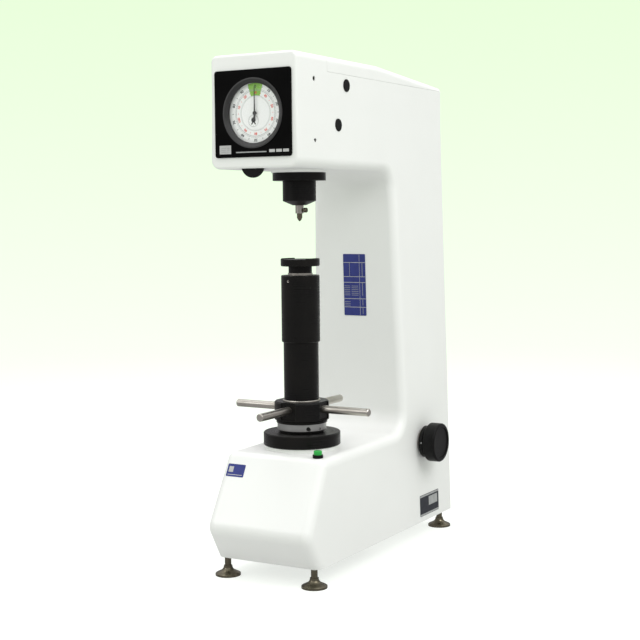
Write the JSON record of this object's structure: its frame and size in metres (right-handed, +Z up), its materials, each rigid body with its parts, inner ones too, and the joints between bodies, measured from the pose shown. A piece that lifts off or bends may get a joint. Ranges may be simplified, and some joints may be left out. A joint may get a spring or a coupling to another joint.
{
  "type": "hardness tester",
  "caption": "Bench hardness tester: white C-frame with a dial in its head, lever and weights inside, and an anvil raised to the indenter by a handwheel screw.",
  "frame": {"origin": "centre of the machine's footprint on the bench", "axes": "+Z up, -Y towards the operator and the dial, +X to the selector knob's side"},
  "size_m": [0.2412, 0.4981, 0.78],
  "materials": {
    "white_enamel": "smooth gloss white enamel on iron",
    "casting_iron": "cast iron under smooth white enamel",
    "black_oxide": "blackened steel, oiled",
    "black_plastic": "black moulded plastic",
    "black_panel": "black screen-printed panel",
    "bright_steel": "turned bright steel",
    "satin_ring": "satin ground steel",
    "foot_nickel": "dull nickel plate",
    "mechanism_steel": "machined steel",
    "bronze": "bearing bronze",
    "weight_iron": "painted iron weights",
    "dial_white": "white printed dial",
    "hand_black": "black lacquer",
    "clear_glass": "clear dial glass",
    "button_green": "green moulded cap",
    "board_green": "circuit board and coils",
    "oil_alloy": "machined aluminium"
  },
  "bodies": {
    "root": {"frame_casting": "casting_iron", "top_lid": "white_enamel", "rear_cover": "white_enamel", "housing_screws": "black_oxide", "bottom_plate": "mechanism_steel", "side_plugs": "black_plastic", "base_ring": "black_oxide", "thrust_ring": "satin_ring", "thrust_bearing": "bright_steel", "screw_guide": "bronze", "spindle_housing": "black_oxide", "fulcrum_block": "mechanism_steel", "column_guides": "mechanism_steel", "selector_bearings": "bronze", "dial_panel": "black_panel", "dial_bezel": "black_panel", "dial_glass": "clear_glass", "dial_case": "oil_alloy", "dial_center_face": "dial_white", "dial_bracket": "mechanism_steel", "button_bezel": "black_plastic", "power_inlet": "black_plastic", "lift_motor": "mechanism_steel", "dashpot_cylinder": "oil_alloy", "control_gear": "board_green"},
    "handwheel": {"handwheel_hub": "black_oxide", "handwheel_spokes": "bright_steel", "lift_nut": "bronze", "lower_tube": "black_oxide"},
    "screw": {"elevating_screw": "bright_steel", "screw_sleeve": "black_oxide", "anvil": "black_oxide"},
    "spindle_body": {"spindle": "bright_steel", "indenter": "foot_nickel"},
    "clamp": {"indenter_clamp_screw": "foot_nickel"},
    "lever": {"load_lever": "mechanism_steel", "lever_poise": "bronze"},
    "hanger": {"weight_hanger": "mechanism_steel", "weight_first": "weight_iron"},
    "cradle": {"weight_cradle": "mechanism_steel", "upper_weights": "weight_iron"},
    "selector": {"selector_knob": "black_plastic", "selector_camshaft": "mechanism_steel"},
    "button": {"start_button": "button_green"},
    "thumbwheel": {"scale_thumbwheel": "black_plastic"},
    "idler": {"scale_idler": "oil_alloy"},
    "scale": {"dial_scale": "dial_white"},
    "long_hand": {"long_pointer": "hand_black"},
    "small_hand": {"small_pointer": "hand_black"},
    "piston": {"dashpot_piston": "mechanism_steel"},
    "cam": {"lift_cam": "mechanism_steel"},
    "rocker": {"power_rocker": "black_plastic"},
    "pad_front_left": {"foot_pad_front_left": "foot_nickel"},
    "stud_front_left": {"foot_stud_front_left": "foot_nickel"},
    "pad_front_right": {"foot_pad_front_right": "foot_nickel"},
    "stud_front_right": {"foot_stud_front_right": "foot_nickel"},
    "pad_rear_left": {"foot_pad_rear_left": "foot_nickel"},
    "stud_rear_left": {"foot_stud_rear_left": "foot_nickel"},
    "pad_rear_right": {"foot_pad_rear_right": "foot_nickel"},
    "stud_rear_right": {"foot_stud_rear_right": "foot_nickel"}
  },
  "joints": [
    {"name": "handwheel_turn", "type": "hinge", "parent": "root", "child": "handwheel", "pos_m": [0, -0.11177, 0.2497], "axis": [0, 0, 1], "range_deg": [-3300, 5100]},
    {"name": "screw_lift", "type": "slide", "parent": "root", "child": "screw", "axis": [0, 0, 1], "range_m": [-0.0851, 0.0551]},
    {"name": "lever_tilt", "type": "hinge", "parent": "root", "child": "lever", "pos_m": [0, -0.13577, 0.672], "axis": [1, 0, 0], "range_deg": [0, 2.5]},
    {"name": "spindle_lift", "type": "slide", "parent": "root", "child": "spindle_body", "axis": [0, 0, 1], "range_m": [0, 0.0011]},
    {"name": "clamp_turn", "type": "hinge", "parent": "spindle_body", "child": "clamp", "pos_m": [0.013, -0.11177, 0.5545], "axis": [1, 0, 0], "range_deg": [-180, 0]},
    {"name": "hanger_lift", "type": "slide", "parent": "root", "child": "hanger", "axis": [0, 0, 1], "range_m": [0, 0.0128]},
    {"name": "piston_travel", "type": "slide", "parent": "root", "child": "piston", "axis": [0, 0, 1], "range_m": [0, 0.0102]},
    {"name": "long_pointer_turn", "type": "hinge", "parent": "root", "child": "long_hand", "pos_m": [0, -0.24037, 0.6945], "axis": [0, 1, 0], "range_deg": [0, 1886]},
    {"name": "small_pointer_turn", "type": "hinge", "parent": "root", "child": "small_hand", "pos_m": [-0.0036, -0.24037, 0.6837], "axis": [0, 1, 0], "range_deg": [0, 189]},
    {"name": "selector_turn", "type": "hinge", "parent": "root", "child": "selector", "pos_m": [0, 0.14193, 0.1645], "axis": [1, 0, 0], "range_deg": [-0.3, 120.3]},
    {"name": "cradle_lift", "type": "slide", "parent": "root", "child": "cradle", "axis": [0, 0, 1], "range_m": [0, 0.008]},
    {"name": "button_press", "type": "slide", "parent": "root", "child": "button", "axis": [0, 0, 1], "range_m": [-0.003, 0], "stiffness_N_per_m": 800},
    {"name": "thumbwheel_turn", "type": "hinge", "parent": "root", "child": "thumbwheel", "pos_m": [-0.006, -0.23737, 0.62074], "axis": [0, 1, 0], "continuous": true},
    {"name": "idler_turn", "type": "hinge", "parent": "root", "child": "idler", "pos_m": [-0.00438, -0.20477, 0.64068], "axis": [0, 1, 0], "continuous": true},
    {"name": "scale_turn", "type": "hinge", "parent": "root", "child": "scale", "pos_m": [0, -0.23397, 0.6945], "axis": [0, 1, 0], "continuous": true},
    {"name": "lift_cam_turn", "type": "hinge", "parent": "root", "child": "cam", "pos_m": [0, 0.20623, 0.638], "axis": [1, 0, 0], "continuous": true},
    {"name": "power_rocker_tilt", "type": "hinge", "parent": "root", "child": "rocker", "pos_m": [0.024, 0.24223, 0.1], "axis": [1, 0, 0], "range_deg": [0, 16]},
    {"name": "foot_height_front_left", "type": "slide", "parent": "root", "child": "pad_front_left", "axis": [0, 0, 1], "range_m": [-0.004, 0.004]},
    {"name": "foot_turn_front_left", "type": "hinge", "parent": "pad_front_left", "child": "stud_front_left", "pos_m": [-0.076, -0.20977, 0.0287], "axis": [0, 0, 1], "range_deg": [-984, 984]},
    {"name": "foot_height_front_right", "type": "slide", "parent": "root", "child": "pad_front_right", "axis": [0, 0, 1], "range_m": [-0.004, 0.004]},
    {"name": "foot_turn_front_right", "type": "hinge", "parent": "pad_front_right", "child": "stud_front_right", "pos_m": [0.076, -0.20977, 0.0287], "axis": [0, 0, 1], "range_deg": [-984, 984]},
    {"name": "foot_height_rear_left", "type": "slide", "parent": "root", "child": "pad_rear_left", "axis": [0, 0, 1], "range_m": [-0.004, 0.004]},
    {"name": "foot_turn_rear_left", "type": "hinge", "parent": "pad_rear_left", "child": "stud_rear_left", "pos_m": [-0.076, 0.23123, 0.0287], "axis": [0, 0, 1], "range_deg": [-984, 984]},
    {"name": "foot_height_rear_right", "type": "slide", "parent": "root", "child": "pad_rear_right", "axis": [0, 0, 1], "range_m": [-0.004, 0.004]},
    {"name": "foot_turn_rear_right", "type": "hinge", "parent": "pad_rear_right", "child": "stud_rear_right", "pos_m": [0.076, 0.23123, 0.0287], "axis": [0, 0, 1], "range_deg": [-984, 984]}
  ],
  "couplings": [
    {"joint": "screw_lift", "follows": "handwheel_turn", "m_per_rad": -0.00095493},
    {"joint": "spindle_lift", "follows": "lever_tilt", "m_per_rad": 0.024},
    {"joint": "hanger_lift", "follows": "lever_tilt", "m_per_rad": 0.29},
    {"joint": "piston_travel", "follows": "lever_tilt", "m_per_rad": 0.23},
    {"joint": "long_pointer_turn", "follows": "lever_tilt", "ratio": 753.98},
    {"joint": "small_pointer_turn", "follows": "lever_tilt", "ratio": 75.398},
    {"joint": "selector_turn", "follows": "cradle_lift", "rad_per_m": 261.8},
    {"joint": "idler_turn", "follows": "thumbwheel_turn", "ratio": -0.42857},
    {"joint": "scale_turn", "follows": "thumbwheel_turn", "ratio": 0.15},
    {"joint": "foot_turn_front_left", "follows": "foot_height_front_left", "rad_per_m": 4188.8},
    {"joint": "foot_turn_front_right", "follows": "foot_height_front_right", "rad_per_m": 4188.8},
    {"joint": "foot_turn_rear_left", "follows": "foot_height_rear_left", "rad_per_m": 4188.8},
    {"joint": "foot_turn_rear_right", "follows": "foot_height_rear_right", "rad_per_m": 4188.8}
  ]
}
